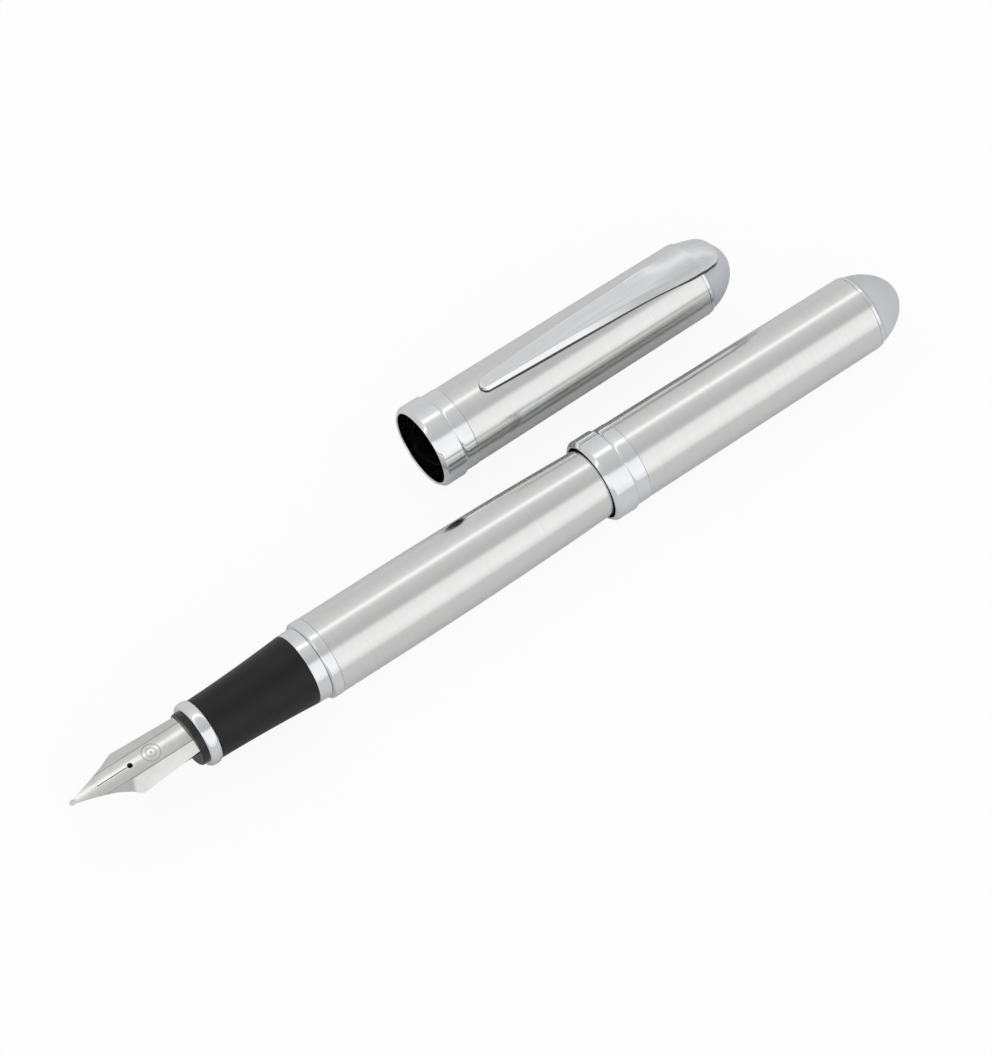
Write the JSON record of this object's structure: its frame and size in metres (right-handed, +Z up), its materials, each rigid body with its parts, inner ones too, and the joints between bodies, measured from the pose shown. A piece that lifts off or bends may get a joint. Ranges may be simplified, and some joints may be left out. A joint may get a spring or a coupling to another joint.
{
  "type": "fountain pen",
  "caption": "Fountain pen with a posted clipless cap, a screw-in section, a piston converter and a separate clip cap lying beside it.",
  "frame": {"origin": "middle of the footprint, on the surface the pen and the cap lie on", "axes": "+X from nib to tail along the pen, +Y from the pen to the clip cap, +Z up"},
  "size_m": [0.1536, 0.034, 0.0147],
  "materials": {
    "nib_steel": "polished bead-drawn steel nib",
    "black_plastic": "moulded black plastic",
    "grip_rubber": "soft matt black grip",
    "bright_trim": "polished chrome plate",
    "core_metal": "turned brass",
    "clear_plastic": "clear moulded plastic",
    "brushed_tube": "steel tube brushed round its axis",
    "cap_dome_metal": "bright plated dome",
    "clip_metal": "plated clip, brushed lengthwise",
    "seal_rubber": "piston rubber",
    "ball_steel": "polished steel ball",
    "screw_steel": "turned steel"
  },
  "bodies": {
    "barrel": {"barrel_tube": "brushed_tube", "barrel_collar": "bright_trim", "barrel_bush": "core_metal", "barrel_end": "bright_trim"},
    "section": {"section_core": "core_metal", "section_ring": "bright_trim", "grip_sleeve": "grip_rubber", "nose_ring": "bright_trim"},
    "nib_unit": {"nib": "nib_steel", "nib_point": "nib_steel", "feed": "black_plastic", "nib_housing": "black_plastic"},
    "converter": {"converter_tube": "clear_plastic", "converter_band": "bright_trim", "converter_bush": "black_plastic", "ink_ball": "ball_steel"},
    "knob": {"converter_knob": "black_plastic"},
    "piston": {"piston_rod": "black_plastic", "piston_seal": "seal_rubber"},
    "tail_cap": {"tail_cap_band": "bright_trim", "tail_cap_tube": "brushed_tube", "tail_cap_liner": "black_plastic", "tail_cap_end_ring": "bright_trim", "tail_cap_dome": "cap_dome_metal", "tail_cap_screw": "screw_steel"},
    "clip_cap": {"clip_cap_band": "bright_trim", "clip_cap_tube": "brushed_tube", "clip_cap_liner": "black_plastic", "clip_cap_end_ring": "bright_trim", "clip_cap_dome": "cap_dome_metal", "clip_cap_screw": "screw_steel"},
    "clip": {"clip": "clip_metal"}
  },
  "joints": [
    {"name": "section_unscrew", "type": "slide", "parent": "barrel", "child": "section", "axis": [-1, 0, 0], "range_m": [0, 0.075]},
    {"name": "nib_unit_pull", "type": "slide", "parent": "section", "child": "nib_unit", "axis": [-1, 0, 0], "range_m": [0, 0.017]},
    {"name": "converter_pull", "type": "slide", "parent": "section", "child": "converter", "axis": [1, 0, 0], "range_m": [0, 0.007]},
    {"name": "knob_turn", "type": "hinge", "parent": "converter", "child": "knob", "pos_m": [0.0232, -0.0101, 0.0069], "axis": [-1, 0, 0], "range_deg": [0, 2880]},
    {"name": "piston_travel", "type": "slide", "parent": "converter", "child": "piston", "axis": [-1, 0, 0], "range_m": [0, 0.024]},
    {"name": "tail_cap_pull", "type": "slide", "parent": "barrel", "child": "tail_cap", "axis": [1, 0, 0], "range_m": [0, 0.04]},
    {"name": "clip_cap_lift", "type": "slide", "parent": "barrel", "child": "clip_cap", "axis": [0, 0, 1], "range_m": [0, 0.05]},
    {"name": "clip_flex", "type": "hinge", "parent": "clip_cap", "child": "clip", "pos_m": [0.05711, 0.0101, 0.0117], "axis": [0, 1, 0], "range_deg": [0, 3], "stiffness_Nm_per_rad": 2}
  ],
  "couplings": [
    {"joint": "knob_turn", "follows": "piston_travel", "rad_per_m": 2094.4}
  ]
}
